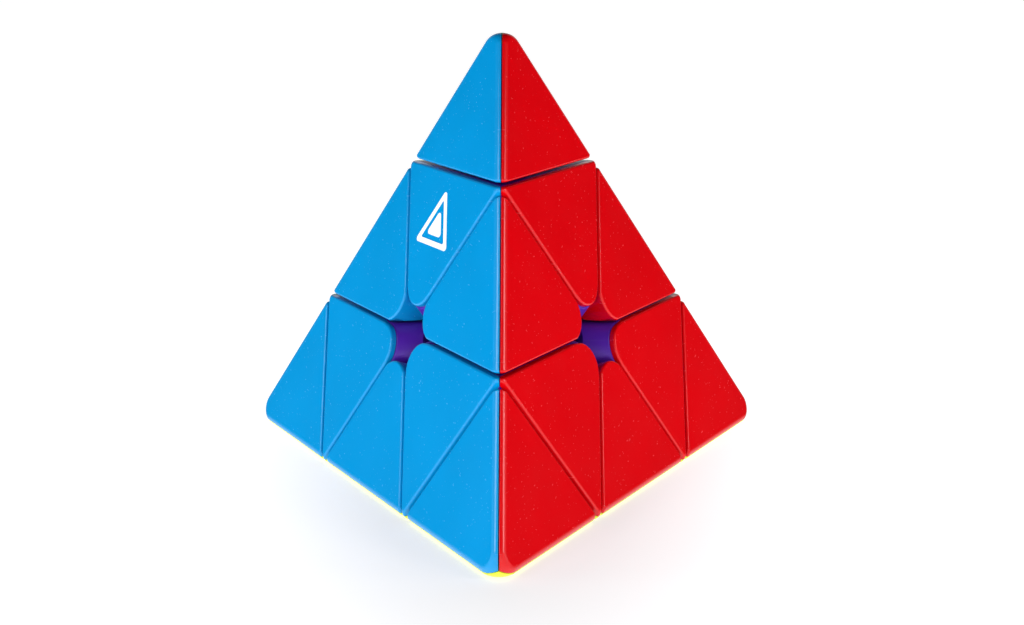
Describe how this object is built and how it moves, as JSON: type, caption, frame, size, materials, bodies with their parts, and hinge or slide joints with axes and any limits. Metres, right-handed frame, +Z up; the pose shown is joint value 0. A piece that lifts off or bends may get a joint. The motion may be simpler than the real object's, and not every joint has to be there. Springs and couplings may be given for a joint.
{
  "type": "pyramid twisty puzzle",
  "caption": "Four-sided pyramid twisty puzzle with coloured caps over dark inner pieces, layers that turn about four axes on a sprung core, and turning tips.",
  "frame": {"origin": "centre of the core, where the four turning axes meet, a quarter of the pyramid's height above the yellow face", "axes": "+Z up through the top corner; -Y towards the front corner, so the blue face looks to the front left, the red face to the front right and the yellow face down"},
  "size_m": [0.0918, 0.0803, 0.0755],
  "materials": {
    "blue_plastic": "satin injection-moulded ABS, bright blue",
    "red_plastic": "satin injection-moulded ABS, bright red",
    "green_plastic": "satin injection-moulded ABS, bright green",
    "yellow_plastic": "satin injection-moulded ABS, lime yellow",
    "inner_plastic": "satin injection-moulded ABS, dark purple",
    "core_plastic": "natural white nylon",
    "steel": "zinc-plated screws and bare spring wire"
  },
  "bodies": {
    "core": {"core": "core_plastic", "screw_top": "steel", "screw_front": "steel", "screw_left": "steel", "screw_right": "steel"},
    "corner_top": {"corner_top_body": "inner_plastic", "spring_top": "steel", "corner_top_cap_blue": "blue_plastic", "corner_top_cap_red": "red_plastic", "corner_top_cap_green": "green_plastic"},
    "corner_front": {"corner_front_body": "inner_plastic", "spring_front": "steel", "corner_front_cap_blue": "blue_plastic", "corner_front_cap_red": "red_plastic", "corner_front_cap_yellow": "yellow_plastic"},
    "corner_left": {"corner_left_body": "inner_plastic", "spring_left": "steel", "corner_left_cap_blue": "blue_plastic", "corner_left_cap_green": "green_plastic", "corner_left_cap_yellow": "yellow_plastic"},
    "corner_right": {"corner_right_body": "inner_plastic", "spring_right": "steel", "corner_right_cap_red": "red_plastic", "corner_right_cap_green": "green_plastic", "corner_right_cap_yellow": "yellow_plastic"},
    "tip_top": {"tip_top_base": "inner_plastic", "tip_top_cap_blue": "blue_plastic", "tip_top_cap_red": "red_plastic", "tip_top_cap_green": "green_plastic"},
    "tip_front": {"tip_front_base": "inner_plastic", "tip_front_cap_blue": "blue_plastic", "tip_front_cap_red": "red_plastic", "tip_front_cap_yellow": "yellow_plastic"},
    "tip_left": {"tip_left_base": "inner_plastic", "tip_left_cap_blue": "blue_plastic", "tip_left_cap_green": "green_plastic", "tip_left_cap_yellow": "yellow_plastic"},
    "tip_right": {"tip_right_base": "inner_plastic", "tip_right_cap_red": "red_plastic", "tip_right_cap_green": "green_plastic", "tip_right_cap_yellow": "yellow_plastic"},
    "edge_top_front": {"edge_top_front_foot": "inner_plastic", "edge_top_front_cap_blue": "blue_plastic", "edge_top_front_cap_red": "red_plastic"},
    "edge_top_left": {"edge_top_left_foot": "inner_plastic", "edge_top_left_cap_blue": "blue_plastic", "edge_top_left_cap_green": "green_plastic"},
    "edge_top_right": {"edge_top_right_foot": "inner_plastic", "edge_top_right_cap_red": "red_plastic", "edge_top_right_cap_green": "green_plastic"},
    "edge_left_front": {"edge_left_front_foot": "inner_plastic", "edge_left_front_cap_blue": "blue_plastic", "edge_left_front_cap_yellow": "yellow_plastic"},
    "edge_front_right": {"edge_front_right_foot": "inner_plastic", "edge_front_right_cap_red": "red_plastic", "edge_front_right_cap_yellow": "yellow_plastic"},
    "edge_right_left": {"edge_right_left_foot": "inner_plastic", "edge_right_left_cap_green": "green_plastic", "edge_right_left_cap_yellow": "yellow_plastic"}
  },
  "joints": [
    {"name": "layer_top_turn", "type": "hinge", "parent": "core", "child": "corner_top", "pos_m": [0, 0, 0], "axis": [0, 0, 1], "range_deg": [-240, 120]},
    {"name": "layer_front_turn", "type": "hinge", "parent": "core", "child": "corner_front", "pos_m": [0, 0, 0], "axis": [0, -0.9428, -0.3333], "range_deg": [-240, 120]},
    {"name": "layer_left_turn", "type": "hinge", "parent": "core", "child": "corner_left", "pos_m": [0, 0, 0], "axis": [-0.8165, 0.4714, -0.3333], "range_deg": [-240, 120]},
    {"name": "layer_right_turn", "type": "hinge", "parent": "core", "child": "corner_right", "pos_m": [0, 0, 0], "axis": [0.8165, 0.4714, -0.3333], "range_deg": [-240, 120]},
    {"name": "tip_top_turn", "type": "hinge", "parent": "corner_top", "child": "tip_top", "pos_m": [0, 0, 0], "axis": [0, 0, 1], "continuous": true},
    {"name": "tip_front_turn", "type": "hinge", "parent": "corner_front", "child": "tip_front", "pos_m": [0, 0, 0], "axis": [0, -0.9428, -0.3333], "continuous": true},
    {"name": "tip_left_turn", "type": "hinge", "parent": "corner_left", "child": "tip_left", "pos_m": [0, 0, 0], "axis": [-0.8165, 0.4714, -0.3333], "continuous": true},
    {"name": "tip_right_turn", "type": "hinge", "parent": "corner_right", "child": "tip_right", "pos_m": [0, 0, 0], "axis": [0.8165, 0.4714, -0.3333], "continuous": true},
    {"name": "edge_top_front_turn", "type": "hinge", "parent": "corner_top", "child": "edge_top_front", "pos_m": [0, 0, 0], "axis": [0, -0.9428, -0.3333], "range_deg": [-240, 120]},
    {"name": "edge_top_left_turn", "type": "hinge", "parent": "corner_top", "child": "edge_top_left", "pos_m": [0, 0, 0], "axis": [-0.8165, 0.4714, -0.3333], "range_deg": [-240, 120]},
    {"name": "edge_top_right_turn", "type": "hinge", "parent": "corner_top", "child": "edge_top_right", "pos_m": [0, 0, 0], "axis": [0.8165, 0.4714, -0.3333], "range_deg": [-240, 120]},
    {"name": "edge_left_front_turn", "type": "hinge", "parent": "corner_left", "child": "edge_left_front", "pos_m": [0, 0, 0], "axis": [0, -0.9428, -0.3333], "range_deg": [-240, 120]},
    {"name": "edge_front_right_turn", "type": "hinge", "parent": "corner_front", "child": "edge_front_right", "pos_m": [0, 0, 0], "axis": [0.8165, 0.4714, -0.3333], "range_deg": [-240, 120]},
    {"name": "edge_right_left_turn", "type": "hinge", "parent": "corner_right", "child": "edge_right_left", "pos_m": [0, 0, 0], "axis": [-0.8165, 0.4714, -0.3333], "range_deg": [-240, 120]}
  ],
  "couplings": [
    {"joint": "edge_top_front_turn", "follows": "layer_front_turn", "ratio": 1},
    {"joint": "edge_top_left_turn", "follows": "layer_left_turn", "ratio": 1},
    {"joint": "edge_top_right_turn", "follows": "layer_right_turn", "ratio": 1},
    {"joint": "edge_left_front_turn", "follows": "layer_front_turn", "ratio": 1},
    {"joint": "edge_front_right_turn", "follows": "layer_right_turn", "ratio": 1},
    {"joint": "edge_right_left_turn", "follows": "layer_left_turn", "ratio": 1}
  ]
}
